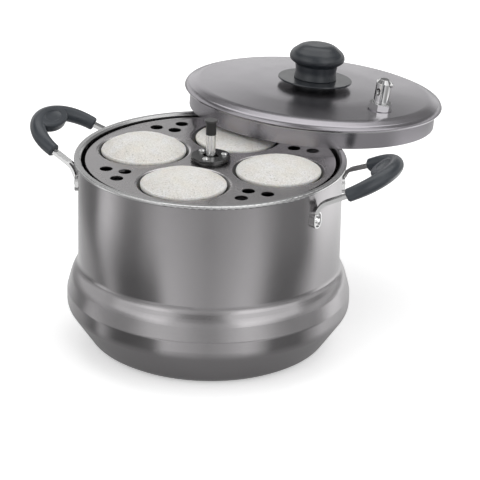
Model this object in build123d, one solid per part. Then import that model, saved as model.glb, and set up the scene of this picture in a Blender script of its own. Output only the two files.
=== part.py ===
from build123d import *
import math
import os

# Idli steamer: a bellied two-handled pot, a lifting stand with four idli plates, and a lid with a vent.
# Lengths are millimetres and angles are degrees.
# The origin is the centre of the pot's base on the floor. +Z is up, and +X points to the right-hand cup.

# Pot
pot_height = 179.5
wall_thickness = 2.6
floor_thickness = 4.0
wall_radius = 121.3
base_inset = 20.3
heel_inset = 11.8
heel_height = 5.0
belly_overhang = 10.2
belly_low = 37.0
belly_straight = 14.0
shoulder_overhang = 5.7
shoulder_rise = 17.0
neck_rise = 10.0
base_round = 3.0
heel_round = 14.0
belly_round = 14.0
crease_round = 8.0
shoulder_round = 30.0
neck_round = 14.0
floor_round = 6.0
rim_overhang = 3.7
rim_depth = 3.4
rim_round = 1.2
mouth_inset = 0.9
mouth_bevel = 1.8
mouth_round = 0.5

# Side handles
handle_azimuths = (4.2, 176.8)
handle_half_angle = 22.0
strap_thickness = 3.4
strap_width = 6.8
strap_groove_width = 2.6
strap_groove_depth = 0.9
strap_channel_width = 4.2
strap_channel_depth = 1.3
strap_bend_drop = 15.9
strap_bend_round = 15.0
strap_tang = 5.0
pad_width = 10.5
pad_length = 16.0
pad_recess_width = 7.9
pad_recess_depth = 1.3
rivet_drop = 29.5
rivet_shank_radius = 2.4
rivet_head_radius = 3.4
rivet_head_height = 2.0
rivet_tail_radius = 4.2
rivet_tail_height = 1.0
rivet_tail_gap = 0.25
grip_end_gap = 14.8
grip_end_half = 40.5
grip_end_drop = 5.1
grip_slope = 25.6
grip_converge = 12.0
grip_nose_lag = 4.1
grip_width = 14.8
grip_thickness = 14.4
grip_end_width = 12.4
grip_end_thickness = 12.4
grip_end_chamfer = 1.2
core_radius = 2.2
core_clearance = 0.1
socket_clearance = 0.3
thumb_inset = 8.4
thumb_half_depth = 12.0
thumb_half_length = 22.0
thumb_thickness = 9.0
thumb_drop = 0.3
thumb_round = 2.4
dish_half_depth = 6.5
dish_half_length = 13.0
dish_depth = 1.6

# Idli plates
plate_count = 4
plate_drop = 3.0
plate_gap = 3.9
plate_thickness = 1.3
cup_count = 4
cup_margin = 5.5
cup_web = 7.8
cup_depth = 16.0
cup_lip_round = 2.0
steam_hole_radius = 6.0
steam_inner_inset = 30.3
steam_outer_inset = 16.3
steam_outer_angle = 7.5

# Hub, collar and rivets in the middle of each plate
hub_radius = 18.4
hub_disc_thickness = 2.3
hub_step_radius = 14.8
hub_step_height = 2.2
hub_bevel = 0.6
collar_radius = 9.4
collar_bore_radius = 7.9
collar_flange_thickness = 1.4
hub_rivet_count = 3
hub_rivet_circle = 12.7
hub_rivet_azimuth = 30.0
hub_rivet_radius = 1.7
hub_rivet_head_radius = 3.0
hub_rivet_head_height = 2.1
hub_rivet_tail_radius = 2.5
hub_rivet_tail_height = 0.9

# Lifting rod with its cross pin, sleeve and cap
rod_radius = 4.4
rod_rise = 38.9
rod_tail = 4.7
spigot_radius = 2.5
sleeve_radius = 4.75
sleeve_length = 12.6
cap_radius = 5.9
cap_thickness = 1.5
cap_skin = 0.5
pin_radius = 1.5
pin_half_length = 7.5
pin_gap = 0.3
bore_clearance = 0.4
slot_clearance = 0.35

# Stand foot
foot_height = 33.0
foot_radius = 60.0
foot_flange = 10.0
foot_shoulder_radius = 24.0
foot_thickness = 1.6
foot_round = 3.0
foot_hole_radius = 8.0
foot_hole_count = 4

# Idlis
idli_gap = 0.25
idli_rim_inset = 0.8
idli_edge_round = 2.0
idli_domes = (11.0, 6.2, 13.6, 12.5)

# Lid, in its own frame: the origin is the centre of the skirt's lower edge, +Z is the lid's axis
lid_gap = 0.7
skirt_height = 16.6
lid_thickness = 1.6
lip_overhang = 4.6
lip_round = 0.6
lid_edge_overhang = 6.2
lid_edge_rise = 1.8
lid_edge_round = 1.4
lid_shoulder_overhang = 4.4
lid_shoulder_rise = 3.6
lid_shoulder_round = 5.0
lid_brow_inset = 5.0
lid_brow_rise = 3.6
lid_brow_round = 18.0
lid_slope_inset = 48.0
lid_slope_rise = 2.6
lid_slope_round = 400.0
lid_crown_radius = 28.0
lid_crown_rise = 1.0
lid_crown_round = 150.0

# How the lid lies: pushed back, tilted, on the rim
lid_slide = 45.2
lid_azimuth = 76.6
lid_tilt = 5.8
lid_tilt_azimuth = 66.5
seat_gap = 0.3

# Lid knob
guard_boss_radius = 21.0
guard_boss_height = 4.2
guard_radius = 35.6
guard_thickness = 1.8
guard_bevel = 0.6
knob_neck_radius = 20.4
knob_waist_radius = 19.4
knob_waist_height = 7.0
knob_neck_height = 14.0
knob_cap_radius = 26.4
knob_cap_low = 18.2
knob_cap_high = 24.6
knob_height = 33.4
knob_crown_radius = 15.0
knob_waist_round = 14.0
knob_neck_round = 2.0
knob_low_round = 5.0
knob_high_round = 9.0
knob_crown_round = 14.0
screw_radius = 3.0
screw_reach = 16.0
screw_head_radius = 5.5
screw_head_height = 3.2
screw_clearance = 0.2
washer_radius = 11.0
washer_thickness = 1.2

# Steam vent
vent_inset = 30.8
vent_azimuth = -25.7
vent_lean = 5.0
vent_land_radius = 11.5
vent_land_drop = 0.2
vent_land_thickness = 3.8
vent_hex_flats = 19.0
vent_hex_height = 6.0
vent_hex_chamfer = 0.8
vent_shank_radius = 4.0
vent_spigot_radius = 3.4
vent_spigot_height = 11.0
vent_hole_radius = 4.3
vent_passage_radius = 1.5
gasket_radius = 8.0
gasket_thickness = 1.5
nut_flats = 13.0
nut_height = 4.5
nut_stub = 1.5
weight_radius = 7.8
weight_height = 22.8
weight_bore_clearance = 0.35
weight_chamfer = 3.4
weight_band_depth = 0.5
weight_band_height = 1.6
weight_slot_width = 4.6
weight_slot_length = 7.2
weight_slot_height = 11.4
weight_slot_azimuth = 276.0
vent_pin_radius = 1.5
vent_pin_height = 19.0
vent_pin_azimuth = 20.0
vent_pin_head_radius = 2.7
vent_pin_head_height = 1.9

# One overrun serves every cut that has to pass right through.
overrun = 10.0

# Places along the grip's centre line, and how far the section has swelled there from its end size.
grip_section_shares = (0.0, 0.08, 0.2, 0.35, 0.5, 0.65, 0.8, 0.92, 1.0)
grip_fullness_shares = (0.0, 0.35, 0.85, 1.0, 1.0, 1.0, 0.85, 0.35, 0.0)

# A rivet or pin head: the upright part of its height, and the flat part of its radius.
head_edge_share = 0.35
head_crown_share = 0.55

# Radii that follow the pot's wall. The cups share out the plate, with a margin outside and a web between.
base_radius = wall_radius - base_inset
heel_radius = wall_radius - heel_inset
belly_radius = wall_radius + belly_overhang
shoulder_radius = wall_radius + shoulder_overhang
rim_radius = wall_radius + rim_overhang
mouth_radius = wall_radius - mouth_inset
inner_radius = wall_radius - wall_thickness
plate_radius = inner_radius - plate_gap
cup_spread = 2 * math.sin(math.pi / cup_count)
cup_mouth_radius = ((plate_radius - cup_margin) * cup_spread - cup_web) / (2 + cup_spread)
cup_circle_radius = plate_radius - cup_margin - cup_mouth_radius
steam_inner_radius = plate_radius - steam_inner_inset
steam_outer_radius = plate_radius - steam_outer_inset
idli_rim_radius = cup_mouth_radius - idli_rim_inset
skirt_radius = inner_radius - lid_gap
grip_end_reach = rim_radius + grip_end_gap
grip_nose_reach = grip_end_half - grip_nose_lag
thumb_reach = grip_nose_reach - thumb_inset

# Heights up the pot and up the lid, each from the one below.
belly_high = belly_low + belly_straight
shoulder_height = belly_high + shoulder_rise
neck_height = shoulder_height + neck_rise
lid_edge_height = skirt_height + lid_edge_rise
lid_shoulder_height = lid_edge_height + lid_shoulder_rise
lid_brow_height = lid_shoulder_height + lid_brow_rise
lid_slope_height = lid_brow_height + lid_slope_rise
lid_crown_height = lid_slope_height + lid_crown_rise
vent_land_height = lid_slope_height - vent_land_drop

# Heights that hang from the pot's rim, and the pitch that spaces the plates evenly above the foot.
rim_underside = pot_height - rim_depth
rivet_height = pot_height - rivet_drop
strap_bend_height = pot_height - strap_bend_drop
grip_end_height = pot_height - grip_end_drop
hub_height = hub_step_height + hub_disc_thickness
foot_top = floor_thickness + foot_height
foot_knee_radius = foot_radius - foot_flange
foot_hole_circle = (foot_knee_radius + foot_shoulder_radius) / 2
top_plate_height = pot_height - plate_drop
plate_pitch = (top_plate_height - foot_top + hub_height) / plate_count
plate_tops = [top_plate_height - plate_pitch * (plate_count - 1 - level) for level in range(plate_count)]
rod_top_height = top_plate_height + rod_rise
lip_radius = skirt_radius + lip_overhang
lid_edge_radius = skirt_radius + lid_edge_overhang
lid_shoulder_radius = skirt_radius + lid_shoulder_overhang
lid_brow_radius = skirt_radius - lid_brow_inset
lid_slope_radius = skirt_radius - lid_slope_inset
lid_offset = rim_radius + lid_slide
vent_circle = skirt_radius - vent_inset
bore_radius = cap_radius + bore_clearance
slot_half_width = pin_radius + slot_clearance
slot_reach = pin_half_length + slot_clearance
cup_sphere_radius = (cup_mouth_radius**2 + cup_depth**2) / (2 * cup_depth)
guard_top = lid_crown_height + guard_boss_height + guard_thickness
lid_crown_underside = lid_crown_height - lid_thickness


def shifted(chain, depths):
    """The same chain of corners moved to its left by one depth for each straight."""
    straights = []
    for start, end, depth in zip(chain, chain[1:], depths):
        along = (Vector(*end) - Vector(*start)).normalized()
        left = Vector(-along.Y, along.X)
        straights.append((Vector(*start) + left * depth, Vector(*end) + left * depth, along))
    moved = [straights[0][0]]
    for (here, _, along), (there, _, beyond) in zip(straights, straights[1:]):
        reach = (there - here).cross(beyond).Z / along.cross(beyond).Z
        moved.append(here + along * reach)
    moved.append(straights[-1][1])
    return [(corner.X, corner.Y) for corner in moved]


def outline(corners, rounds):
    """A closed face through corners, each with the radius that rounds it."""
    return make_face(FilletPolyline(*corners, radius=rounds, close=True))


def turned(corners, rounds):
    """A solid turned about Z from (radius, height) corners, each with the radius that rounds it."""
    return revolve(Plane.XZ * outline(corners, rounds), Axis.Z)


def around(count, start=0.0):
    """Azimuths of evenly spaced copies."""
    return [start + 360.0 * index / count for index in range(count)]


def polar(radius, azimuth, height=0.0):
    """A place at a radius, azimuth and height about Z."""
    angle = math.radians(azimuth)
    return Pos(radius * math.cos(angle), radius * math.sin(angle), height)


def post(radius, low, high):
    """A round bar on Z between two heights."""
    return Pos(0, 0, (low + high) / 2) * Cylinder(radius, high - low)


def head_corners(radius, low, height):
    """The outer corners of a bevelled dome, from its seat to its crown."""
    edge = low + height * head_edge_share
    return [(radius, low), (radius, edge), (radius * head_crown_share, low + height), (0, low + height)]


def rivet(shank, head, head_height, tail, tail_height, length):
    """A rivet along Z with a bevelled dome: the head sits on height zero and the tail is length below it."""
    corners = [
        (0, -length - tail_height),
        (tail, -length - tail_height),
        (tail, -length),
        (shank, -length),
        (shank, 0),
    ]
    corners += head_corners(head, 0, head_height)
    return turned(corners, [0] * len(corners))


def keyhole(low, high):
    """The hole that lets the rod, its cap and its cross pin through: a bore with two opposite slots."""
    slot = Box(2 * slot_reach, 2 * slot_half_width, high - low)
    return post(bore_radius, low, high) + Pos(0, 0, (low + high) / 2) * slot


def handle_place(azimuth, side):
    """The frame of one strap: x runs outwards from the pot's axis through the rivet, z is up."""
    return Rot(0, 0, azimuth + side * handle_half_angle)


def pot_body():
    outer = [
        (0, 0),
        (base_radius, 0),
        (heel_radius, heel_height),
        (belly_radius, belly_low),
        (belly_radius, belly_high),
        (shoulder_radius, shoulder_height),
        (wall_radius, neck_height),
        (wall_radius, rim_underside),
    ]
    inner = shifted(outer, [floor_thickness] + [wall_thickness] * (len(outer) - 2))[1:-1]
    rim = [
        (rim_radius, rim_underside),
        (rim_radius, pot_height),
        (mouth_radius, pot_height),
        (inner_radius, pot_height - mouth_bevel),
    ]
    outer_rounds = [0, base_round, heel_round, belly_round, crease_round, shoulder_round, neck_round, 0]
    rim_rounds = [rim_round, rim_round, mouth_round, mouth_round]
    inner_rounds = [
        neck_round + wall_thickness,
        shoulder_round - wall_thickness,
        crease_round - wall_thickness,
        belly_round - wall_thickness,
        heel_round - wall_thickness,
        floor_round,
    ]
    corners = outer + rim + inner[::-1] + [(0, floor_thickness)]
    body = turned(corners, outer_rounds + rim_rounds + inner_rounds + [0])
    for azimuth in handle_azimuths:
        for side in (-1, 1):
            hole = Cylinder(rivet_shank_radius, 2 * overrun)
            body -= handle_place(azimuth, side) * Pos(wall_radius, 0, rivet_height) * Rot(0, 90, 0) * hole
    return body


def strap_run(side):
    """Where one strap stands on the wall and which way it reaches to its grip's end, seen from above."""
    foot = polar(wall_radius + strap_thickness / 2, side * handle_half_angle).position
    return foot, Vector(grip_end_reach, side * grip_end_half) - foot


def strap_place(side):
    """The upright plane of one strap: x runs from its foot on the wall to the grip's end, z is up."""
    foot, run = strap_run(side)
    return Pos(foot.X, foot.Y, 0) * Rot(0, 0, math.degrees(math.atan2(run.Y, run.X)))


def strap_line():
    """Mid line of one strap in its own upright plane: up the wall, then out to the grip."""
    reach = strap_run(1)[1].length
    rise = Vector(reach, grip_end_height - strap_bend_height)
    tip = Vector(0, strap_bend_height) + rise * (1 + strap_tang / rise.length)
    return [(0, rivet_height), (0, strap_bend_height), (tip.X, tip.Y)]


def strap_band(back, front, width):
    """A strip of the strap between two distances from its mid line, back being the side at the wall."""
    line = strap_line()
    back_side = shifted(line, [back, back])
    front_side = shifted(line, [-front, -front])
    rounds = [0, max(0, strap_bend_round - front), 0, 0, max(0, strap_bend_round + back), 0]
    face = Plane.XZ * outline(front_side + back_side[::-1], rounds)
    return extrude(face, width / 2, both=True)


def strap_pad():
    """The oval pad at a strap's foot, recessed for the rivet head, in the frame of handle_place."""
    face = Plane.YZ.offset(wall_radius - wall_thickness) * Pos(0, rivet_height)
    slab = face * Rot(0, 0, 90) * SlotOverall(pad_length, pad_width)
    return extrude(slab, wall_thickness + strap_thickness)


def pad_recess():
    """What the pad loses: its recess and the rivet's hole."""
    face = Plane.YZ.offset(wall_radius + strap_thickness - pad_recess_depth) * Pos(0, rivet_height)
    length = pad_length - pad_width + pad_recess_width
    recess = extrude(face * Rot(0, 0, 90) * SlotOverall(length, pad_recess_width), overrun)
    hole = Cylinder(rivet_shank_radius, 2 * overrun)
    return recess + Pos(wall_radius, 0, rivet_height) * Rot(0, 90, 0) * hole


def strap(side):
    """One strap with its riveted pad, a groove on its upper side and a channel on its lower side."""
    half = strap_thickness / 2
    bar = strap_band(half, half, strap_width)
    bar -= strap_band(half + overrun, -half + strap_groove_depth, strap_groove_width)
    bar -= strap_band(-half + strap_channel_depth, half + overrun, strap_channel_width)
    place = handle_place(0, side)
    wall = post(wall_radius, rivet_height - pad_length, pot_height)
    return strap_place(side) * bar + place * strap_pad() - place * pad_recess() - wall


def grip_plane():
    """The sloping plane of the grip, its origin midway between the grip's two ends."""
    slope = math.radians(grip_slope)
    return Plane(
        origin=(grip_end_reach, 0, grip_end_height),
        x_dir=(math.cos(slope), 0, math.sin(slope)),
        z_dir=(-math.sin(slope), 0, math.cos(slope)),
    )


def grip_path():
    """Centre line of the grip in its plane: two short legs that close in, joined by one broad arc."""
    lean = math.radians(grip_converge)
    bow = (grip_end_half * math.cos(lean) - grip_nose_reach * math.sin(lean)) / (1 - math.sin(lean))
    touch = Vector(grip_nose_reach - bow + bow * math.sin(lean), bow * math.cos(lean))
    near_leg = Line((0, -grip_end_half), (touch.X, -touch.Y))
    nose = ThreePointArc((touch.X, -touch.Y), (grip_nose_reach, 0), (touch.X, touch.Y))
    far_leg = Line((touch.X, touch.Y), (0, grip_end_half))
    return grip_plane() * Wire([near_leg, nose, far_leg])


def across_grip(path, share):
    """The plane square to the grip's centre line at a share of its length, x being across the grip."""
    return Plane(origin=path @ share, x_dir=grip_plane().z_dir, z_dir=path % share)


def grip_core(radius):
    """A round bar along the whole of the grip's centre line."""
    path = grip_path()
    return sweep(across_grip(path, 0) * Circle(radius), path=path)


def handle_frame():
    """Both straps and the core between them, one bent piece that the grip is moulded round."""
    frame = grip_core(core_radius)
    for side in (-1, 1):
        frame += strap(side)
    return frame


def grip_tube():
    """The grip's U, slimmer at its two ends."""
    path = grip_path()
    sections = []
    for share, fullness_share in zip(grip_section_shares, grip_fullness_shares):
        thickness = grip_end_thickness + (grip_thickness - grip_end_thickness) * fullness_share
        width = grip_end_width + (grip_width - grip_end_width) * fullness_share
        sections.append(across_grip(path, share) * Ellipse(thickness / 2, width / 2))
    return loft(sections)


def handle_grip():
    """The moulded grip: a U with a dished thumb pad inside its nose and sockets for the straps."""
    grip = grip_tube()
    ends = grip.faces().filter_by(GeomType.PLANE)
    grip = chamfer([edge for face in ends for edge in face.edges()], grip_end_chamfer)
    plane = grip_plane()
    thumb_top = grip_thickness / 2 - thumb_drop
    thumb = extrude(Ellipse(thumb_half_depth, thumb_half_length), thumb_thickness)
    thumb = fillet(thumb.edges().filter_by(GeomType.ELLIPSE), thumb_round)
    grip += plane * Pos(thumb_reach, 0, thumb_top - thumb_thickness) * thumb
    squash = (dish_half_depth / dish_half_length, 1, dish_depth / dish_half_length)
    dish = scale(Sphere(dish_half_length), squash)
    grip -= plane * Pos(thumb_reach, 0, thumb_top) * dish
    grip -= grip_core(core_radius + core_clearance)
    line = strap_line()
    reach = strap_run(1)[1].length
    angle = math.degrees(math.atan2(line[2][1] - line[1][1], line[2][0] - line[1][0]))
    for side in (-1, 1):
        socket = Box(
            2 * (strap_tang + socket_clearance),
            strap_width + 2 * socket_clearance,
            strap_thickness + 2 * socket_clearance,
        )
        mouth = Pos(reach, 0, grip_end_height) * Rot(0, -angle, 0)
        grip -= strap_place(side) * mouth * socket
    return grip


def handle_rivets():
    """The four rivets that hold the straps: domed heads outside, flat tails inside the pot."""
    seat = wall_radius + strap_thickness - pad_recess_depth
    rivets = []
    for azimuth in handle_azimuths:
        for side in (-1, 1):
            piece = rivet(
                rivet_shank_radius,
                rivet_head_radius,
                rivet_head_height,
                rivet_tail_radius,
                rivet_tail_height,
                seat - inner_radius + rivet_tail_gap,
            )
            rivets.append(handle_place(azimuth, side) * Pos(seat, 0, rivet_height) * Rot(0, 90, 0) * piece)
    return Compound(rivets)


def plate(top):
    """A round sheet with four spherical cups, four groups of three steam holes and the keyhole."""
    sheet = post(plate_radius, top - plate_thickness, top)
    holes = keyhole(top - overrun, top + overrun)
    ball_height = top + cup_sphere_radius - cup_depth
    ball = Sphere(cup_sphere_radius + plate_thickness)
    lower_half = post(plate_radius, top - 2 * cup_depth, top)
    for azimuth in around(cup_count):
        sheet += polar(cup_circle_radius, azimuth, ball_height) * ball & lower_half
    for azimuth in around(cup_count):
        sheet -= polar(cup_circle_radius, azimuth, ball_height) * Sphere(cup_sphere_radius)
    top_edges = sheet.edges().filter_by(GeomType.CIRCLE).group_by(Axis.Z)[-1]
    mouths = [edge for edge in top_edges if abs(edge.radius - cup_mouth_radius) < cup_lip_round / 2]
    sheet = fillet(mouths, cup_lip_round)
    for azimuth in around(cup_count, 180.0 / cup_count):
        places = [
            (steam_inner_radius, azimuth),
            (steam_outer_radius, azimuth - steam_outer_angle),
            (steam_outer_radius, azimuth + steam_outer_angle),
        ]
        for radius, direction in places:
            holes += polar(radius, direction) * post(steam_hole_radius, top - overrun, top + overrun)
    for azimuth in around(hub_rivet_count, hub_rivet_azimuth):
        holes += polar(hub_rivet_circle, azimuth) * post(hub_rivet_radius, top - overrun, top + overrun)
    return sheet - holes


def hub(top):
    """The stepped disc riveted on top of a plate, keyholed for the rod."""
    disc_low = top + hub_step_height
    disc = post(hub_radius, disc_low, top + hub_height)
    disc = chamfer(disc.edges().group_by(Axis.Z)[-1], hub_bevel)
    disc += post(hub_step_radius, top, disc_low)
    disc -= keyhole(top - overrun, top + overrun)
    for azimuth in around(hub_rivet_count, hub_rivet_azimuth):
        disc -= polar(hub_rivet_circle, azimuth) * post(hub_rivet_radius, top - overrun, top + overrun)
    return disc


def collar(top):
    """The flanged tube under a plate that stands it on the hub below."""
    high = top - plate_thickness
    low = top - plate_pitch + hub_height
    flange_low = high - collar_flange_thickness
    flange = post(hub_radius, flange_low, high) - keyhole(flange_low - overrun, high + overrun)
    tube = post(collar_radius, low, flange_low) - post(collar_bore_radius, low - overrun, flange_low)
    for azimuth in around(hub_rivet_count, hub_rivet_azimuth):
        flange -= polar(hub_rivet_circle, azimuth) * post(hub_rivet_radius, low, high + overrun)
    return flange + tube


def hub_rivets(top):
    """The three rivets through a hub, its plate and its collar."""
    length = hub_height + plate_thickness + collar_flange_thickness
    pieces = []
    for azimuth in around(hub_rivet_count, hub_rivet_azimuth):
        piece = rivet(
            hub_rivet_radius,
            hub_rivet_head_radius,
            hub_rivet_head_height,
            hub_rivet_tail_radius,
            hub_rivet_tail_height,
            length,
        )
        pieces.append(polar(hub_rivet_circle, azimuth, top + hub_height) * piece)
    return Compound(pieces)


def idli(azimuth, dome):
    """One steamed cake: its underside follows the cup and its top is a low dome."""
    top = plate_tops[-1]
    under_radius = cup_sphere_radius - idli_gap
    over_radius = (idli_rim_radius**2 + dome**2) / (2 * dome)
    under = Pos(0, 0, cup_sphere_radius - cup_depth) * Sphere(under_radius)
    over = Pos(0, 0, dome - over_radius) * Sphere(over_radius)
    cake = under & over
    rim = cake.edges().filter_by(GeomType.CIRCLE)
    return polar(cup_circle_radius, azimuth, top) * fillet(rim, idli_edge_round)


def stand_foot():
    """A pressed foot that stands on the pot's floor: open below, with holes for the water."""
    half = foot_thickness / 2
    line = [
        (foot_radius, floor_thickness + half),
        (foot_knee_radius, floor_thickness + half),
        (foot_shoulder_radius, foot_top - half),
        (0, foot_top - half),
    ]
    under = shifted(line, [half] * (len(line) - 1))
    over = shifted(line, [-half] * (len(line) - 1))
    rounds = [0, foot_round + half, foot_round - half, 0, 0, foot_round + half, foot_round - half, 0]
    foot = turned(under + over[::-1], rounds)
    foot -= keyhole(foot_top - overrun, foot_top + overrun)
    for azimuth in around(foot_hole_count, 180.0 / foot_hole_count):
        foot -= polar(foot_hole_circle, azimuth) * post(foot_hole_radius, floor_thickness, foot_top)
    return foot


pin_height = foot_top - foot_thickness - pin_gap - pin_radius
rod_low = pin_height - pin_radius - rod_tail
cap_low = rod_top_height - cap_thickness
sleeve_low = cap_low - sleeve_length


def rod_pin():
    """The cross pin that catches under the foot and lifts the whole stand."""
    return Pos(0, 0, pin_height) * Rot(90, 0, 0) * Cylinder(pin_radius, 2 * pin_half_length)


def lifting_rod():
    spigot = post(spigot_radius, sleeve_low, rod_top_height - cap_skin)
    return post(rod_radius, rod_low, sleeve_low) + spigot - rod_pin()


def rod_sleeve():
    bore = post(spigot_radius, sleeve_low - overrun, cap_low + overrun)
    return post(sleeve_radius, sleeve_low, cap_low) - bore


def rod_cap():
    disc = post(cap_radius, cap_low, rod_top_height)
    disc = chamfer(disc.edges().group_by(Axis.Z)[-1], cap_skin / 2)
    return disc - post(spigot_radius, cap_low - overrun, rod_top_height - cap_skin)


def lid_place():
    """Where the lid lies: its skirt crosses the rim's outer circle in two points, and the lower one rests."""
    spread = (lid_offset**2 + rim_radius**2 - skirt_radius**2) / (2 * lid_offset * rim_radius)
    turn = math.degrees(math.acos(spread))
    centre = polar(lid_offset, lid_azimuth).position
    downhill = polar(1, lid_tilt_azimuth).position
    drops = []
    for azimuth in (lid_azimuth - turn, lid_azimuth + turn):
        crossing = polar(rim_radius, azimuth).position
        drops.append((crossing - centre).dot(downhill) * math.tan(math.radians(lid_tilt)))
    height = pot_height + seat_gap + max(drops)
    tilt = Rot(0, 0, lid_tilt_azimuth) * Rot(0, lid_tilt, 0) * Rot(0, 0, -lid_tilt_azimuth)
    return Pos(centre.X, centre.Y, height) * tilt


def vent_place():
    """The vent's seat on the lid: it leans outwards with the dome."""
    return polar(vent_circle, vent_azimuth, vent_land_height) * Rot(0, 0, vent_azimuth) * Rot(0, vent_lean, 0)


def vent_hole(radius):
    return vent_place() * post(radius, -vent_land_height, overrun)


def lid_shell():
    """The lid's pressed shell: a plain skirt, a rolled edge and a broad low dome."""
    top = [
        (lid_edge_radius, lid_edge_height),
        (lid_shoulder_radius, lid_shoulder_height),
        (lid_brow_radius, lid_brow_height),
        (lid_slope_radius, lid_slope_height),
        (lid_crown_radius, lid_crown_height),
        (0, lid_crown_height),
    ]
    under = shifted(top, [lid_thickness] * (len(top) - 1))[2:-1]
    lining = skirt_radius - lid_thickness
    corners = [(lining, 0), (skirt_radius, 0), (skirt_radius, skirt_height), (lip_radius, skirt_height)]
    corners += top + [(0, lid_crown_underside)] + under[::-1]
    corners += [(lining, lid_shoulder_height - lid_thickness)]
    rounds = [0, 0, lip_round, lip_round, lid_edge_round, lid_shoulder_round, lid_brow_round]
    rounds += [lid_slope_round, lid_crown_round, 0, 0]
    rounds += [lid_crown_round, lid_slope_round, lid_shoulder_round, lid_thickness]
    shell = turned(corners, rounds)
    shell += vent_place() * post(vent_land_radius, -vent_land_thickness, 0)
    shell -= post(screw_radius + screw_clearance, 0, lid_crown_height + overrun)
    return lid_place() * (shell - vent_hole(vent_hole_radius))


def knob_guard():
    """The thin round guard under the knob, raised off the lid by its own boss."""
    low = lid_crown_height + guard_boss_height
    disc = post(guard_radius, low, guard_top)
    disc = chamfer(disc.edges().filter_by(GeomType.CIRCLE), guard_bevel)
    disc += post(guard_boss_radius, lid_crown_height, low)
    return lid_place() * (disc - post(screw_radius + screw_clearance, 0, guard_top + overrun))


def knob():
    """The moulded mushroom knob with a blind hole for its screw."""
    shape = [
        (0, 0),
        (knob_neck_radius, 0),
        (knob_waist_radius, knob_waist_height),
        (knob_neck_radius, knob_neck_height),
        (knob_cap_radius, knob_cap_low),
        (knob_cap_radius, knob_cap_high),
        (knob_crown_radius, knob_height),
        (0, knob_height),
    ]
    rounds = [0, guard_bevel, knob_waist_round, knob_neck_round]
    rounds += [knob_low_round, knob_high_round, knob_crown_round, 0]
    body = turned(shape, rounds) - post(screw_radius, -overrun, screw_reach)
    return lid_place() * Pos(0, 0, guard_top) * body


def knob_screw():
    low = lid_crown_underside - washer_thickness
    screw = post(screw_radius, low, guard_top + screw_reach)
    head = post(screw_head_radius, low - screw_head_height, low)
    head = fillet(head.edges().group_by(Axis.Z)[0], screw_head_height / 2)
    return lid_place() * (screw + head)


def knob_washer():
    low = lid_crown_underside - washer_thickness
    disc = post(washer_radius, low, lid_crown_underside)
    hole = post(screw_radius + screw_clearance, low - overrun, lid_crown_underside + overrun)
    return lid_place() * (disc - hole)


def hexagon(flats, low, high):
    """A hexagonal bar on Z between two heights."""
    return Pos(0, 0, low) * extrude(RegularPolygon(flats / 2, 6, major_radius=False), high - low)


def at_vent(shape):
    """Puts a shape that stands on the vent's land, on its own Z, in its place on the lid."""
    return lid_place() * vent_place() * shape


gasket_top = -vent_land_thickness
nut_top = gasket_top - gasket_thickness
nut_low = nut_top - nut_height
weight_bore_radius = vent_spigot_radius + weight_bore_clearance


def vent_stem():
    """The vent's hexagonal seat with a threaded shank through the lid and a spigot for the weight."""
    seat = hexagon(vent_hex_flats, 0, vent_hex_height)
    seat &= turned(
        [
            (0, 0),
            (vent_hex_flats / math.sqrt(3), 0),
            (vent_hex_flats / math.sqrt(3), vent_hex_height),
            (0, vent_hex_height),
        ],
        [0, 0, vent_hex_chamfer, 0],
    )
    shank = post(vent_shank_radius, nut_low - nut_stub, 0)
    spigot = post(vent_spigot_radius, vent_hex_height, vent_hex_height + vent_spigot_height)
    passage = post(vent_passage_radius, nut_low - overrun, vent_hex_height + vent_spigot_height + overrun)
    return at_vent(seat + shank + spigot - passage)


def vent_gasket():
    ring = post(gasket_radius, nut_top, gasket_top) - post(vent_shank_radius, nut_low - overrun, overrun)
    return at_vent(ring)


def vent_nut():
    return at_vent(hexagon(nut_flats, nut_low, nut_top) - post(vent_shank_radius, nut_low - overrun, overrun))


def vent_pin_hole():
    return Pos(0, 0, vent_hex_height + vent_pin_height) * Rot(0, 0, vent_pin_azimuth) * Rot(0, 90, 0)


def vent_weight():
    """The chromed weight that drops over the spigot: bevelled crown, side slot and a turned band."""
    low = vent_hex_height
    high = low + weight_height
    body = turned(
        [
            (0, low),
            (weight_radius, low),
            (weight_radius, low + weight_band_height),
            (weight_radius - weight_band_depth, low + weight_band_height),
            (weight_radius - weight_band_depth, high - weight_chamfer),
            (weight_radius - weight_chamfer, high),
            (0, high),
        ],
        [0, weight_band_depth, 0, 0, weight_band_depth, weight_band_depth, 0],
    )
    body -= post(weight_bore_radius, low - overrun, low + vent_spigot_height + weight_bore_clearance)
    slot = extrude(SlotOverall(weight_slot_length, weight_slot_width), weight_radius + overrun)
    body -= Pos(0, 0, low + weight_slot_height) * Rot(0, 0, weight_slot_azimuth) * Rot(0, 90, 0) * slot
    body -= vent_pin_hole() * Cylinder(vent_pin_radius, 2 * overrun)
    return at_vent(body)


def vent_pin():
    """The pin across the weight's crown, with a domed head on one side."""
    reach = weight_radius - weight_band_depth
    shank = Cylinder(vent_pin_radius, 2 * reach)
    corners = [(0, reach)] + head_corners(vent_pin_head_radius, reach, vent_pin_head_height)
    head = turned(corners, [0] * len(corners))
    return at_vent(vent_pin_hole() * (shank + head))


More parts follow.
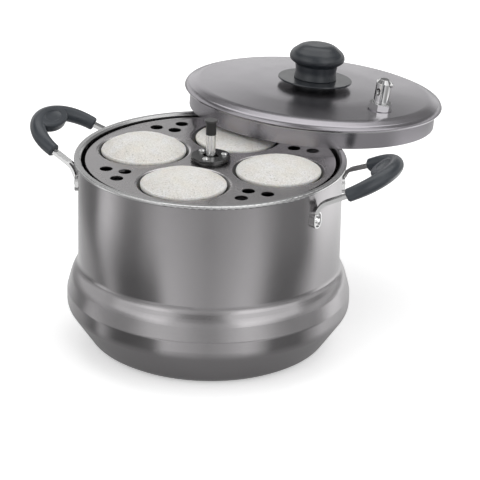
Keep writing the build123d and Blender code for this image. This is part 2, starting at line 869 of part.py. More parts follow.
def all_parts():
    """Every piece under its node name."""
    parts = {"pot_body": pot_body(), "handle_rivets": handle_rivets()}
    frame, grip = handle_frame(), handle_grip()
    for side, azimuth in zip(("right", "left"), handle_azimuths):
        parts[f"handle_frame_{side}"] = Rot(0, 0, azimuth) * frame
        parts[f"handle_grip_{side}"] = Rot(0, 0, azimuth) * grip
    parts["stand_foot"] = stand_foot()
    parts["lifting_rod"] = lifting_rod()
    parts["rod_sleeve"] = rod_sleeve()
    parts["rod_cap"] = rod_cap()
    parts["rod_pin"] = rod_pin()
    for level, top in enumerate(plate_tops, start=1):
        parts[f"plate_{level}"] = plate(top)
        parts[f"hub_{level}"] = hub(top)
        parts[f"collar_{level}"] = collar(top)
        parts[f"hub_rivets_{level}"] = hub_rivets(top)
    for index, (azimuth, dome) in enumerate(zip(around(cup_count), idli_domes), start=1):
        parts[f"idli_{index}"] = idli(azimuth, dome)
    parts["lid_shell"] = lid_shell()
    parts["knob"] = knob()
    parts["knob_guard"] = knob_guard()
    parts["knob_screw"] = knob_screw()
    parts["knob_washer"] = knob_washer()
    parts["vent_stem"] = vent_stem()
    parts["vent_gasket"] = vent_gasket()
    parts["vent_nut"] = vent_nut()
    parts["vent_weight"] = vent_weight()
    parts["vent_pin"] = vent_pin()
    return parts


os.makedirs("parts", exist_ok=True)
for name, shape in all_parts().items():
    export_step(shape, f"parts/{name}.step")
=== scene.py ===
import math

import bmesh
import bpy
from mathutils import Matrix, Vector, noise

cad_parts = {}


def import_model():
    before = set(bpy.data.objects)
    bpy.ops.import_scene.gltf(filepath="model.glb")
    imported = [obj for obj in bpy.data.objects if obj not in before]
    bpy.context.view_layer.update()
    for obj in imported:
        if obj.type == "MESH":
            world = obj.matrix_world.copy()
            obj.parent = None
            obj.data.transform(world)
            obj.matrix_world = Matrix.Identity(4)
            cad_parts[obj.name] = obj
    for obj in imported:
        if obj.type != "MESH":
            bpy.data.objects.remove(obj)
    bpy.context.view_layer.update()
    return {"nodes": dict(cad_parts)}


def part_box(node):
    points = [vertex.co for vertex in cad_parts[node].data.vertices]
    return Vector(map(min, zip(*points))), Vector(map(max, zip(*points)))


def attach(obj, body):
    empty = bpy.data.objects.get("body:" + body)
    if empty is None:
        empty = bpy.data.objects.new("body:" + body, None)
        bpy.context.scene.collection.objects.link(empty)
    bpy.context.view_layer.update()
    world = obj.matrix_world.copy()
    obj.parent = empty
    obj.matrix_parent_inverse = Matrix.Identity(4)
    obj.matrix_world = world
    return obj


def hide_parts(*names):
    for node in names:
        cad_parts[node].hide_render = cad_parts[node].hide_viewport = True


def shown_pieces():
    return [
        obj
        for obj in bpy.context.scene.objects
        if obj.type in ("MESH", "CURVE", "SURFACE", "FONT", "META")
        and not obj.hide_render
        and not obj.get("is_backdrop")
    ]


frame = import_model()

nodes = frame["nodes"]

# Frames. Lengths are in metres and angles in radians, where a comment says nothing else.
# The camera's own frame is the row frame turned by this angle about the pot's axis.
ROW_TURN = math.radians(21.1)
# The lid's own frame: the centre of its skirt's lower edge, tilted as it lies on the rim.
LID_OFFSET, LID_AZIMUTH, LID_HEIGHT = 0.1702, math.radians(76.6), 0.17333
LID_TILT, LID_TILT_AZIMUTH = math.radians(5.8), math.radians(66.5)
LID = (
    Matrix.Translation((LID_OFFSET * math.cos(LID_AZIMUTH), LID_OFFSET * math.sin(LID_AZIMUTH), LID_HEIGHT))
    @ Matrix.Rotation(LID_TILT_AZIMUTH, 4, "Z")
    @ Matrix.Rotation(LID_TILT, 4, "Y")
    @ Matrix.Rotation(-LID_TILT_AZIMUTH, 4, "Z")
)

# Looks of the pieces. A colour is a grey level with a tint.
OPAQUE = 1.0
ANODISED_LEVEL, ANODISED_TINT = 0.31, (1.01, 0.98, 1.0)
LID_LEVEL, LID_TINT = 0.32, (1.02, 0.98, 1.045)
PLATE_LEVEL, PLATE_TINT = 0.47, (1.02, 0.99, 1.0)
MOULDED_TINT = (0.85, 1.0, 1.2)
GUARD_TINT = (0.9, 1.0, 1.15)
# Heights between which a piece looks different, in its own frame: the pot's polished rim, the cups in use,
# rougher where batter and oil dull them and darkened with painted shade, and the lid's edge, lightened with
# a painted highlight.
RIM_HEIGHTS = (0.1762, 0.19)
CUP_SHADE_HEIGHTS = (0.15, 0.1757)
LID_EDGE_HIGHLIGHT_HEIGHTS = (0.0145, 0.0165)

# Textures. A scale is a count of features to a metre.
METAL_CLOUD_SCALE, METAL_SPECK_SCALE, TURNING_SCALE = 22.0, 900.0, 2600.0
METAL_CLOUD_SHARE, METAL_SPECK_SHARE = 0.4, 0.6
METAL_SPREAD = 0.12
METAL_ROUGHNESS_SHARES = (0.88, 1.12)
TURNING_DRIFT = 0.0035
TURNING_DEPTH, CHROME_DEPTH = 0.000012, 0.000004
PLASTIC_CLOUD_SCALE, PLASTIC_PIT_SCALE = 45.0, 1600.0
PLASTIC_COLOUR_SHARES = (0.8, 1.25)
PLASTIC_ROUGHNESS_SHARES = (0.85, 1.2)
PLASTIC_DEPTH = 0.00002
# Cloudy noise mostly stays within these.
CLOUD_RANGE = (0.3, 0.7)
# How detailed a noise is.
COARSE, MEDIUM, FINE, FINEST = 2.0, 3.0, 4.0, 5.0

CRUMB_CLOUD_SCALE, CRUMB_GRAIN_SCALE, CRUMB_PORE_SCALE = 55.0, 800.0, 420.0
CRUMB_GRAIN_ROUGHNESS = 0.75
CRUMB_WARM, CRUMB_PALE = (0.91, 0.875, 0.815, OPAQUE), (0.96, 0.955, 0.95, OPAQUE)
CRUMB_CLOUD_RANGE, CRUMB_GRAIN_RANGE = (0.35, 0.65), (0.38, 0.62)
CRUMB_GRAIN, CRUMB_GRAIN_SHARE = (0.60, 0.58, 0.53, OPAQUE), 0.75
CRUMB_GRAIN_DEPTH, CRUMB_GRAIN_STRENGTH = 0.0006, 0.9
# Pores are darkened with painted shade.
CRUMB_PORE_SHADE, CRUMB_PORE_SHADE_SHARE = (0.30, 0.28, 0.24, OPAQUE), 0.4
CRUMB_PORE_DEPTH, CRUMB_PORE_STRENGTH = 0.0005, 0.8
# A pore opens in a cell whose random level is over the first value, within these distances of its middle.
PORE_RARITY, PORE_RANGE = 0.7, (0.1, 0.35)
CRUMB_ROUGHNESS = (0.45, 0.6)
CRUMB_SOFTNESS, CRUMB_SOFT_DEPTHS = 0.2, (0.004, 0.003, 0.002)

# The cups of the top plate: the height of its face, the depth of a cup and the radius of its sphere.
CUP_TOP, CUP_DEPTH, CUP_SPHERE = 0.1765, 0.016, 0.06575
# The cake follows its cup with a gap, draws in from its rim, and its domed top ends in a soft edge.
CAKE_GAP, CAKE_EDGE, CAKE_TUCK, CAKE_SHRINK, CAKE_SETTLE = 0.0004, 0.0026, 0.0011, 0.0008, 0.0004
CAKE_RINGS, CAKE_STEPS, CAKE_SIDE_RINGS = 40, 120, 10
# 2 would be a plain cap; more is a bun, steeper at its edge.
CAKE_FULLNESS = 2.6
CAKE_TURN_SHARES = (0.25, 0.5, 0.75, 1.0)
CAKE_TURN_REACH_SHARE, CAKE_SIDE_INSET_SHARE = 0.7, 0.4
# How lumpy the dome, its edge and the side in the cup are, as shares.
DOME_LUMPY_SHARE, EDGE_LUMPY_SHARE, SIDE_LUMPY_SHARE = 1.0, 0.8, 0.0
SWELL_SCALE, SWELL_DEPTH = 18, 0.0004
LUMP_SCALE, LUMP_HEIGHT_SCALE, LUMP_DEPTH = 150, 90, 0.00028
# Of the lumps: how fast finer ones weaken, how much finer each set is, and how many sets there are.
LUMP_FADE, LUMP_STEP, LUMP_SETS = 0.8, 2.0, 4
RAGGED_SCALE, RAGGED_SHARE, RAGGED_LAYER = 60, 0.010, 3
# Where the cakes lie in the noise, and how far apart they lie there.
CAKE_SEED, CAKE_SEED_STEP = (0.0, 1.9, 4.1), 7.3

# Lights: name, place in the camera's frame, size and power in watts. They aim at a point in the pot.
LIGHTS = (
    ("key_light", (1.9, -1.5, 2.0), (3.5, 3.5), 36.0),
    ("fill_light", (-1.9, -1.2, 1.7), (2.6, 2.6), 16.5),
    ("top_light", (0.1, 0.9, 2.4), (3.0, 2.0), 26.0),
)
LIGHT_AIM = (0, 0, 0.1)

# What the metal mirrors, as dark and bright cards round the pot: (bearing in degrees, level). The near and
# the far cards are painted on the floor and show only in the metal: painted reflections. A bearing is 0
# towards the camera and grows to its right.
NEAR_CARDS = (
    (-180, 0.7), (-128, 0.5), (-108, 0.12), (-98, 0.8), (-90, 0.4), (-82, 0.13), (-65, 0.12), (-44, 0.18),
    (-35, 0.95), (-20, 0.75), (0, 0.52), (15, 0.68), (31, 0.95), (41, 0.75), (53, 0.17), (80, 0.17),
    (92, 0.5), (108, 1.0), (180, 0.7),
)
FAR_CARDS = (
    (-180, 0.6), (-140, 0.4), (-125, 0.25), (-103, 0.1), (-97, 1.1), (-87, 1.4), (-77, 0.8), (-68, 0.35),
    (-57, 0.3), (-48, 0.65), (-38, 0.85), (-22, 0.68), (0, 0.45), (20, 0.62), (36, 0.78), (47, 0.5),
    (58, 0.28), (84, 0.22), (90, 0.9), (98, 1.7), (118, 1.5), (140, 0.9), (180, 0.6),
)
ROOM_CARDS = (
    (-180, 1.0), (-100, 0.9), (-75, 0.4), (-62, 0.5), (-48, 0.95), (-36, 1.0), (-20, 0.85), (-8, 0.55),
    (6, 0.5), (18, 0.85), (33, 1.05), (44, 0.9), (58, 0.5), (72, 0.35), (100, 0.9), (180, 1.0),
)
# The room's cards also run with height, as (share from straight down to straight up, level).
FRONT_HEIGHTS = ((0.0, 0.8), (0.5, 1.0), (0.66, 1.0), (0.76, 0.5), (0.88, 0.3), (1.0, 0.45))
BACK_HEIGHTS = ((0.0, 0.6), (0.5, 0.85), (0.63, 0.8), (0.64, 0.75), (0.67, 0.17), (0.88, 0.3), (1.0, 0.45))
# The bearings, to either side, between which the front's heights give way to the back's.
BACK_BEARINGS = (1.3, 1.9)
# How far the room's bright card leans behind the pot: it reaches higher on the left.
SIDE_LEAN = 0.1
ROOM_LEVEL, CARD_BOOST = 0.4, 0.3

# The floor, and the radii between which one part of what it mirrors gives way to the next: right under the
# pot's foot it is dim all round, a painted shade, then come the near and the far cards, and last an even far
# floor, which the lid's skirt mirrors. To the metal the floor shows all this as a glowing painted
# reflection.
FLOOR_SIZE, FLOOR_CELLS, FLOOR_SCALE = 16.0, 2, 3.0
FLOOR_LEVELS, FLOOR_ROUGHNESS, FLOOR_GLOW = (0.86, 0.88), 0.9, 0.4
FOOT_SHADE_LEVEL, FAR_LEVEL = 0.4, 0.42
FOOT_RADII, CARD_RADII, FAR_RADII = (0.125, 0.2), (0.34, 0.47), (0.57, 0.66)
# Close to the pot the cards draw in towards the front, by up to the first factor.
DRAW_RADII, DRAW_FACTORS = (0.14, 0.4), (1.6, 1.0)
# Far out the floor glows in full, so that it stays white in a low view.
GLOW_RADII = (0.7, 2.5)

# The photograph's camera, in its own frame.
CAMERA_DISTANCE, CAMERA_HEIGHT = 2.40, 1.08323
CAMERA_PITCH, CAMERA_YAW, CAMERA_ROLL = 0.3897, 0.0119, 0.0217
FOCAL_PIXELS, PHOTO_PIXELS, SENSOR_MM = 2799.22, 480, 36.0

# The sockets of the Mix node that mix colours.
MIX_FACTOR, MIX_A, MIX_B, MIX_RESULT = 0, 6, 7, 2


class Nodes:
    """A short way to write the nodes of a material or of the world."""

    def __init__(self, owner):
        self.owner = owner
        owner.use_nodes = True
        self.tree = owner.node_tree

    def new(self, kind, values=None, **settings):
        """A node with these settings, and with a value or a link in each input that values names."""
        node = self.tree.nodes.new(kind)
        for key, value in settings.items():
            setattr(node, key, value)
        for key, value in (values or {}).items():
            self.put(node.inputs[key], value)
        return node

    def put(self, socket, value):
        """Sets a socket, or links it where the value is another node's output."""
        if isinstance(value, bpy.types.NodeSocket):
            self.tree.links.new(value, socket)
        else:
            socket.default_value = value

    def math(self, operation, *values):
        node = self.new("ShaderNodeMath", operation=operation)
        for index, value in enumerate(values):
            self.put(node.inputs[index], value)
        return node.outputs[0]

    def plus(self, a, b):
        return self.math("ADD", a, b)

    def times(self, a, b):
        return self.math("MULTIPLY", a, b)

    def rest(self, share):
        """What is left of 1 beside a share."""
        return self.math("SUBTRACT", 1.0, share)

    def radius(self, x, y):
        """The distance of (x, y) from the Z axis."""
        return self.math("SQRT", self.plus(self.times(x, x), self.times(y, y)))

    def along(self, x, y, direction):
        """How far (x, y) reaches in a level direction."""
        return self.plus(self.times(x, direction.x), self.times(y, direction.y))

    def place(self, matrix=None):
        """Object coordinates, or coordinates in the frame that matrix places."""
        out = self.new("ShaderNodeTexCoord").outputs["Object"]
        if matrix is None:
            return out
        mapping = self.new("ShaderNodeMapping", vector_type="TEXTURE")
        mapping.inputs["Location"].default_value = matrix.to_translation()
        mapping.inputs["Rotation"].default_value = matrix.to_euler("XYZ")
        self.tree.links.new(out, mapping.inputs["Vector"])
        return mapping.outputs[0]

    def axes(self, vector):
        return self.new("ShaderNodeSeparateXYZ", {0: vector}).outputs

    def noise(self, vector, scale, detail, roughness=0.55):
        values = {"Vector": vector, "Scale": scale, "Detail": detail, "Roughness": roughness}
        return self.new("ShaderNodeTexNoise", values).outputs["Fac"]

    def span(self, value, limits, results=(0.0, 1.0)):
        """Carries a value from between the limits to between the results, and stops there."""
        low, high = limits
        to_low, to_high = results
        values = {"Value": value, "From Min": low, "From Max": high, "To Min": to_low, "To Max": to_high}
        return self.new("ShaderNodeMapRange", values).outputs[0]

    def mix(self, factor, a, b, blend="MIX"):
        node = self.new("ShaderNodeMix", data_type="RGBA", blend_type=blend)
        for socket, value in ((MIX_FACTOR, factor), (MIX_A, a), (MIX_B, b)):
            self.put(node.inputs[socket], value)
        return node.outputs[MIX_RESULT]

    def bump(self, height, distance, strength=1.0, normal=None):
        values = {"Height": height, "Distance": distance, "Strength": strength}
        if normal is not None:
            values["Normal"] = normal
        return self.new("ShaderNodeBump", values).outputs[0]

    def ramp(self, value, stops):
        """A grey level that follows value through (position, level) stops."""
        node = self.new("ShaderNodeValToRGB", {"Fac": value})
        elements = node.color_ramp.elements
        for element, (position, level) in zip(elements, (stops[0], stops[-1])):
            element.position, element.color = position, grey(level)
        for position, level in stops[1:-1]:
            elements.new(position).color = grey(level)
        return node.outputs["Color"]

    def turned_marks(self, vector):
        """Fine turning marks that run round the local Z axis, from 0 to 1."""
        x, y, z = self.axes(vector)
        drift = self.times(self.math("ARCTAN2", y, x), TURNING_DRIFT)
        profile = self.new("ShaderNodeCombineXYZ", {0: self.radius(x, y), 1: drift, 2: z})
        return self.noise(profile.outputs[0], TURNING_SCALE, COARSE)

    def finish(self, **sockets):
        """Fills the surface shader's inputs, with a low line for each space in a name."""
        shader = self.tree.nodes["Principled BSDF"]
        for key, value in sockets.items():
            self.put(shader.inputs[key.replace("_", " ")], value)
        return self.owner


def grey(value, tint=(1.0, 1.0, 1.0)):
    """The colour of a grey level, with a tint as shares of its red, green and blue."""
    return (value * tint[0], value * tint[1], value * tint[2], OPAQUE)


def shaded(colour, factor):
    """A darker or lighter colour."""
    return tuple(channel * factor for channel in colour[:3]) + (OPAQUE,)


def scaled(value, shares):
    return tuple(value * share for share in shares)


def metal(name, colour, roughness, matrix=None, marks=TURNING_DEPTH, band=None):
    """Spun or pressed metal: faintly cloudy and speckled, with marks that run round its own frame's Z axis.
    Between the heights of a band, (heights, colour, roughness), it has the band's looks and no marks."""
    n = Nodes(bpy.data.materials.new(name))
    place = n.place(matrix)
    cloud = n.noise(place, METAL_CLOUD_SCALE, FINE)
    speck = n.noise(place, METAL_SPECK_SCALE, COARSE)
    tone = n.plus(n.times(cloud, METAL_CLOUD_SHARE), n.times(speck, METAL_SPECK_SHARE))
    base = n.mix(tone, shaded(colour, 1.0 - METAL_SPREAD), shaded(colour, 1.0 + METAL_SPREAD))
    rough = n.span(cloud, CLOUD_RANGE, scaled(roughness, METAL_ROUGHNESS_SHARES))
    relief = n.plus(n.turned_marks(place), n.times(speck, METAL_SPECK_SHARE))
    if band is not None:
        (low, high), band_colour, band_roughness = band
        height = n.axes(place)[2]
        inside = n.times(n.math("GREATER_THAN", height, low), n.math("LESS_THAN", height, high))
        base = n.mix(inside, base, band_colour)
        rough = n.plus(n.times(rough, n.rest(inside)), n.times(inside, band_roughness))
        relief = n.times(relief, n.rest(inside))
    return n.finish(Base_Color=base, Roughness=rough, Metallic=1.0, Normal=n.bump(relief, marks))


def plastic(name, colour, roughness):
    """Moulded plastic or rubber with a fine grain and slight wear."""
    n = Nodes(bpy.data.materials.new(name))
    place = n.place()
    cloud = n.noise(place, PLASTIC_CLOUD_SCALE, FINE)
    pits = n.noise(place, PLASTIC_PIT_SCALE, COARSE)
    worn, rubbed = (shaded(colour, share) for share in PLASTIC_COLOUR_SHARES)
    return n.finish(
        Base_Color=n.mix(cloud, worn, rubbed),
        Roughness=n.span(cloud, CLOUD_RANGE, scaled(roughness, PLASTIC_ROUGHNESS_SHARES)),
        Normal=n.bump(pits, PLASTIC_DEPTH),
    )


def idli_material():
    """Steamed rice batter: an off-white, mottled and grainy crumb with scattered pores, darkened with
    painted shade, and a moist sheen.
    """
    n = Nodes(bpy.data.materials.new("idli_crumb"))
    place = n.place()
    cloud = n.noise(place, CRUMB_CLOUD_SCALE, FINE)
    grain = n.noise(place, CRUMB_GRAIN_SCALE, FINEST, CRUMB_GRAIN_ROUGHNESS)
    cells = n.new("ShaderNodeTexVoronoi", {"Vector": place, "Scale": CRUMB_PORE_SCALE}).outputs
    rare = n.math("GREATER_THAN", n.axes(cells["Color"])[0], PORE_RARITY)
    pore = n.times(rare, n.span(cells["Distance"], PORE_RANGE, (1.0, 0.0)))
    base = n.mix(n.span(cloud, CRUMB_CLOUD_RANGE), CRUMB_WARM, CRUMB_PALE)
    base = n.mix(n.span(grain, CRUMB_GRAIN_RANGE, (CRUMB_GRAIN_SHARE, 0.0)), base, CRUMB_GRAIN)
    # Painted shade in the pores.
    base = n.mix(n.times(pore, CRUMB_PORE_SHADE_SHARE), base, CRUMB_PORE_SHADE)
    normal = n.bump(grain, CRUMB_GRAIN_DEPTH, CRUMB_GRAIN_STRENGTH)
    normal = n.bump(n.rest(pore), CRUMB_PORE_DEPTH, CRUMB_PORE_STRENGTH, normal)
    return n.finish(
        Base_Color=base,
        Roughness=n.span(cloud, CLOUD_RANGE, CRUMB_ROUGHNESS),
        Normal=normal,
        Subsurface_Weight=CRUMB_SOFTNESS,
        Subsurface_Radius=CRUMB_SOFT_DEPTHS,
    )


def dress(names, material):
    """Gives CAD nodes this one material."""
    for name in names:
        mesh = nodes[name].data
        mesh.materials.clear()
        mesh.materials.append(material)


def dress_pot():
    anodised = grey(ANODISED_LEVEL, ANODISED_TINT)
    rim = (RIM_HEIGHTS, grey(0.52), 0.27)
    frames, grips = ([f"handle_{kind}_{side}" for side in ("right", "left")] for kind in ("frame", "grip"))
    dress(["pot_body"], metal("pot_anodised", anodised, roughness=0.23, band=rim))
    dress(frames, metal("strap_metal", grey(0.66), roughness=0.18))
    dress(grips, plastic("grip_plastic", grey(0.042, MOULDED_TINT), roughness=0.34))


def dress_stand():
    """The stand and its plates. The handles' rivets are of the same metal as the hubs' ones."""
    tiers = (1, 2, 3, 4)
    used = tiers[-1]
    anodised = grey(PLATE_LEVEL, PLATE_TINT)
    # The cups of the plate in use are rougher, and darker with painted shade.
    cup_shade = (CUP_SHADE_HEIGHTS, grey(0.14), 0.35)
    rivets = [f"hub_rivets_{tier}" for tier in tiers] + ["handle_rivets"]
    dress([f"plate_{tier}" for tier in tiers[:-1]], metal("plate_anodised", anodised, roughness=0.26))
    dress([f"plate_{used}"], metal("plate_with_cup_shade", anodised, roughness=0.26, band=cup_shade))
    dress([f"hub_{tier}" for tier in tiers], metal("hub_anodised", grey(0.10), roughness=0.22))
    dress([f"collar_{tier}" for tier in tiers], metal("collar_metal", grey(0.5), roughness=0.3))
    dress(rivets, metal("rivet_metal", grey(0.8), roughness=0.16))
    dress(["stand_foot"], metal("foot_metal", grey(0.3), roughness=0.35))
    dress(["lifting_rod", "rod_pin"], metal("rod_steel", grey(0.78), roughness=0.26))
    dress(["rod_sleeve"], plastic("sleeve_plastic", grey(0.012), roughness=0.4))
    dress(["rod_cap"], plastic("cap_plastic", grey(0.05), roughness=0.35))


def dress_lid():
    anodised = grey(LID_LEVEL, LID_TINT)
    # The lid's edge band is a little lighter: a painted highlight.
    edge = (LID_EDGE_HIGHLIGHT_HEIGHTS, grey(0.4), 0.24)
    chrome = metal("vent_chrome", grey(0.62), roughness=0.05, matrix=LID, marks=CHROME_DEPTH)
    steel = metal("screw_steel", grey(0.55), roughness=0.3, matrix=LID)
    dress(["lid_shell"], metal("lid_anodised", anodised, roughness=0.23, matrix=LID, band=edge))
    dress(["knob_guard"], plastic("guard_plastic", grey(0.03, GUARD_TINT), roughness=0.22))
    dress(["knob"], plastic("knob_plastic", grey(0.03, MOULDED_TINT), roughness=0.3))
    dress(["vent_gasket"], plastic("gasket_rubber", grey(0.02), roughness=0.7))
    dress(["vent_stem", "vent_weight", "vent_pin"], chrome)
    dress(["knob_screw", "knob_washer", "vent_nut"], steel)


def cake_section(radius, dome):
    """Points from the crown to the foot of a cake, as (radius, height, how lumpy it is there)."""
    section = []
    for ring in range(1, CAKE_RINGS):
        r = (radius - CAKE_EDGE) * math.sin(ring / CAKE_RINGS * math.pi / 2)
        section.append((r, dome * (1.0 - (r / radius) ** CAKE_FULLNESS), DOME_LUMPY_SHARE))
    turn_height = section[-1][1] - CAKE_EDGE
    for share in CAKE_TURN_SHARES:
        angle = share * math.pi / 2
        r = radius - CAKE_EDGE + CAKE_EDGE * math.sin(angle) * CAKE_TURN_REACH_SHARE
        section.append((r, turn_height + CAKE_EDGE * math.cos(angle), EDGE_LUMPY_SHARE))
    low = CAKE_GAP - CUP_DEPTH
    for ring in range(1, CAKE_SIDE_RINGS + 1):
        # The last ring stays half a step above the cake's lowest point.
        share = ring / (CAKE_SIDE_RINGS + 0.5)
        height = min(turn_height, 0.0) - CAKE_TUCK + (low + CAKE_TUCK) * share
        reach = math.sqrt(max(0.0, (CUP_SPHERE - CAKE_GAP) ** 2 - (CUP_SPHERE - CUP_DEPTH - height) ** 2))
        section.append((min(reach, radius - CAKE_EDGE * CAKE_SIDE_INSET_SHARE), height, SIDE_LUMPY_SHARE))
    return section


def uneven(x, y, height, outward, lumpy, seed):
    """A point of a cake, pulled in and sunk a little by noise. Outward is its share of the radius."""
    swell = noise.noise(Vector((x * SWELL_SCALE, y * SWELL_SCALE, 0)) + seed)
    lump_at = Vector((x * LUMP_SCALE, y * LUMP_SCALE, height * LUMP_HEIGHT_SCALE)) + seed
    lump = noise.fractal(lump_at, LUMP_FADE, LUMP_STEP, LUMP_SETS)
    ragged = noise.noise(Vector((x * RAGGED_SCALE, y * RAGGED_SCALE, RAGGED_LAYER)) + seed)
    edge = 1.0 - RAGGED_SHARE * lumpy * outward * (1 + ragged)
    sink = lumpy * (SWELL_DEPTH * (1 - swell) + LUMP_DEPTH * (1 + lump))
    return Vector((x * edge, y * edge, height - sink))


def cake_mesh(centre, radius, dome, seed):
    """The closed surface of a cake round its upright axis."""
    mesh = bmesh.new()
    rows = []
    for r, height, lumpy in cake_section(radius, dome):
        row = []
        for step in range(CAKE_STEPS):
            angle = math.tau * step / CAKE_STEPS
            point = uneven(r * math.cos(angle), r * math.sin(angle), height, r / radius, lumpy, seed)
            row.append(mesh.verts.new(centre + point))
        rows.append(row)
    top = mesh.verts.new((centre.x, centre.y, rows[0][0].co.z))
    bottom = mesh.verts.new((centre.x, centre.y, centre.z + CAKE_GAP - CUP_DEPTH))
    for step in range(CAKE_STEPS):
        after = (step + 1) % CAKE_STEPS
        for a, b in zip(rows, rows[1:]):
            mesh.faces.new((a[step], b[step], b[after], a[after]))
        mesh.faces.new((top, rows[0][step], rows[0][after]))
        mesh.faces.new((bottom, rows[-1][after], rows[-1][step]))
    return mesh


def idli(index, crumb):
    """A cake in place of the CAD one: a softly uneven dome that swells a little more on one side."""
    name = f"idli_{index}"
    low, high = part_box(name)
    centre = Vector(((low.x + high.x) / 2, (low.y + high.y) / 2, CUP_TOP))
    radius = (high.x - low.x) / 2 - CAKE_SHRINK
    dome = high.z - centre.z - CAKE_SETTLE
    mesh = cake_mesh(centre, radius, dome, Vector(CAKE_SEED) + Vector((CAKE_SEED_STEP * index, 0, 0)))
    data = bpy.data.meshes.new(f"idli_cake_{index}")
    mesh.to_mesh(data)
    mesh.free()
    data.materials.append(crumb)
    piece = bpy.data.objects.new(f"idli_cake_{index}", data)
    bpy.context.scene.collection.objects.link(piece)
    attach(piece, "tier_4")
    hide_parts(name)


def idlis():
    crumb = idli_material()
    for index in (1, 2, 3, 4):
        idli(index, crumb)


def turned(x, y, z):
    """A place given in the camera's frame, in the row frame."""
    return Matrix.Rotation(ROW_TURN, 3, "Z") @ Vector((x, y, z))


def area_light(name, place, size, power):
    data = bpy.data.lights.new(name, "AREA")
    data.shape = "RECTANGLE"
    data.size, data.size_y = size
    data.energy = power
    light = bpy.data.objects.new(name, data)
    light.location = turned(*place)
    light.rotation_euler = (turned(*LIGHT_AIM) - light.location).to_track_quat("-Z", "Y").to_euler()
    bpy.context.scene.collection.objects.link(light)


def bearing(n, x, y):
    """The bearing of (x, y), from -pi to pi: 0 towards the camera, and growing to its right."""
    near, right = turned(0, -1, 0), turned(1, 0, 0)
    return n.math("ARCTAN2", n.along(x, y, right), n.along(x, y, near))


def cards(n, angle, stops):
    """The level of the card at a bearing."""
    share = n.span(angle, (-math.pi, math.pi))
    return n.ramp(share, [((degrees + 180) / 360, level) for degrees, level in stops])


def painted_floor_reflection(n, x, y, radius):
    """The painted reflection that the floor shows the metal. The pot's sloping foot mirrors the floor close
    by, and its upright wall the floor further out."""
    angle = n.times(bearing(n, x, y), n.span(radius, DRAW_RADII, DRAW_FACTORS))
    mirrored = n.mix(n.span(radius, CARD_RADII), cards(n, angle, NEAR_CARDS), cards(n, angle, FAR_CARDS))
    mirrored = n.mix(n.span(radius, FOOT_RADII), grey(FOOT_SHADE_LEVEL), mirrored)
    return n.mix(n.span(radius, FAR_RADII), mirrored, grey(FAR_LEVEL))


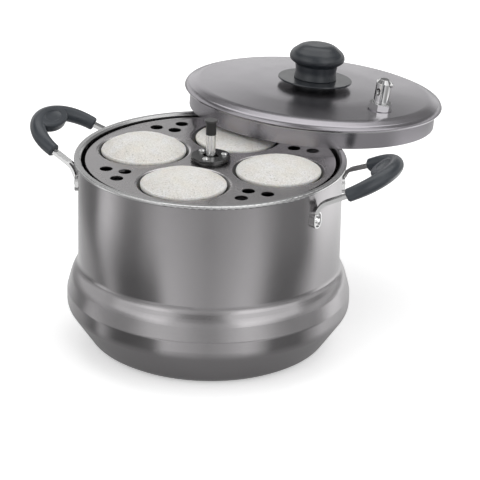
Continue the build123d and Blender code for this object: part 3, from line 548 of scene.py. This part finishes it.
def backdrop():
    """The floor: pale for the light that bounces off it, white to the camera, shaded by the object, and to
    the metal a glowing painted reflection.
    """
    bpy.ops.mesh.primitive_grid_add(x_subdivisions=FLOOR_CELLS, y_subdivisions=FLOOR_CELLS, size=FLOOR_SIZE)
    floor = bpy.context.object
    floor.name = "floor"
    n = Nodes(bpy.data.materials.new("floor_paper"))
    rays = n.new("ShaderNodeLightPath").outputs
    to_camera, to_metal = rays["Is Camera Ray"], rays["Is Glossy Ray"]
    x, y, z = n.axes(n.place())
    radius = n.radius(x, y)
    mirrored = painted_floor_reflection(n, x, y, radius)
    pale, paler = (grey(level) for level in FLOOR_LEVELS)
    base = n.mix(n.noise(n.place(), FLOOR_SCALE, MEDIUM), pale, paler)
    # To the metal the floor shows the painted reflection, glowing with it.
    base = n.mix(to_metal, base, mirrored)
    base = n.mix(to_camera, base, grey(1.0))
    seen = n.times(to_camera, n.span(radius, GLOW_RADII, (FLOOR_GLOW, 1.0)))
    floor.data.materials.append(n.finish(
        Base_Color=base,
        Roughness=FLOOR_ROUGHNESS,
        Emission_Color=n.mix(to_camera, mirrored, grey(1.0)),
        Emission_Strength=n.plus(seen, n.times(to_metal, FLOOR_GLOW)),
    ))
    floor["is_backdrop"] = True


def world():
    """A plain room: even for soft light, white to the camera, and with cards for the metal to mirror."""
    scene = bpy.context.scene
    scene.world = bpy.data.worlds.new("studio")
    n = Nodes(scene.world)
    background = n.tree.nodes["Background"]
    rays = n.new("ShaderNodeLightPath").outputs
    to_camera, to_metal = rays["Is Camera Ray"], rays["Is Glossy Ray"]
    x, y, z = n.axes(n.new("ShaderNodeTexCoord").outputs["Generated"])
    angle = bearing(n, x, y)
    aside = n.along(x, y, turned(1, 0, 0))
    lean = n.math("MAXIMUM", n.math("MINIMUM", aside, SIDE_LEAN), -SIDE_LEAN)
    front = n.ramp(n.span(z, (-1.0, 1.0)), FRONT_HEIGHTS)
    back = n.ramp(n.span(n.plus(z, lean), (-1.0, 1.0)), BACK_HEIGHTS)
    level = n.mix(n.span(n.math("ABSOLUTE", angle), BACK_BEARINGS), front, back)
    mirrored = n.mix(1.0, level, cards(n, angle, ROOM_CARDS), blend="MULTIPLY")
    tone = n.mix(to_metal, grey(ROOM_LEVEL), mirrored)
    n.put(background.inputs["Color"], n.mix(to_camera, tone, grey(1.0)))
    n.put(background.inputs["Strength"], n.math("MULTIPLY_ADD", to_metal, CARD_BOOST, 1.0))


def camera():
    """The photograph's camera: turned by its yaw, tipped down by its pitch and then rolled."""
    right = Vector((math.cos(CAMERA_YAW), -math.sin(CAMERA_YAW), 0))
    level_ahead = Vector((math.sin(CAMERA_YAW), math.cos(CAMERA_YAW), 0))
    ahead = level_ahead * math.cos(CAMERA_PITCH) - Vector((0, 0, math.sin(CAMERA_PITCH)))
    up = right.cross(ahead)
    across = right * math.cos(CAMERA_ROLL) + up * math.sin(CAMERA_ROLL)
    above = up * math.cos(CAMERA_ROLL) - right * math.sin(CAMERA_ROLL)
    axes = Matrix((across, above, -ahead)).transposed()
    stand = Matrix.Translation((0, -CAMERA_DISTANCE, CAMERA_HEIGHT))
    data = bpy.data.cameras.new("photo_camera")
    data.sensor_width = SENSOR_MM
    data.lens = FOCAL_PIXELS / PHOTO_PIXELS * SENSOR_MM
    view = bpy.data.objects.new("photo_camera", data)
    view.matrix_world = Matrix.Rotation(ROW_TURN, 4, "Z") @ stand @ axes.to_4x4()
    bpy.context.scene.collection.objects.link(view)
    bpy.context.scene.camera = view


def smooth():
    """Shades every piece smoothly."""
    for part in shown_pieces():
        if part.type == "MESH":
            for face in part.data.polygons:
                face.use_smooth = True


dress_pot()
dress_stand()
dress_lid()
idlis()
for light in LIGHTS:
    area_light(*light)
backdrop()
world()
camera()
bpy.context.scene.view_settings.view_transform = "Standard"
smooth()
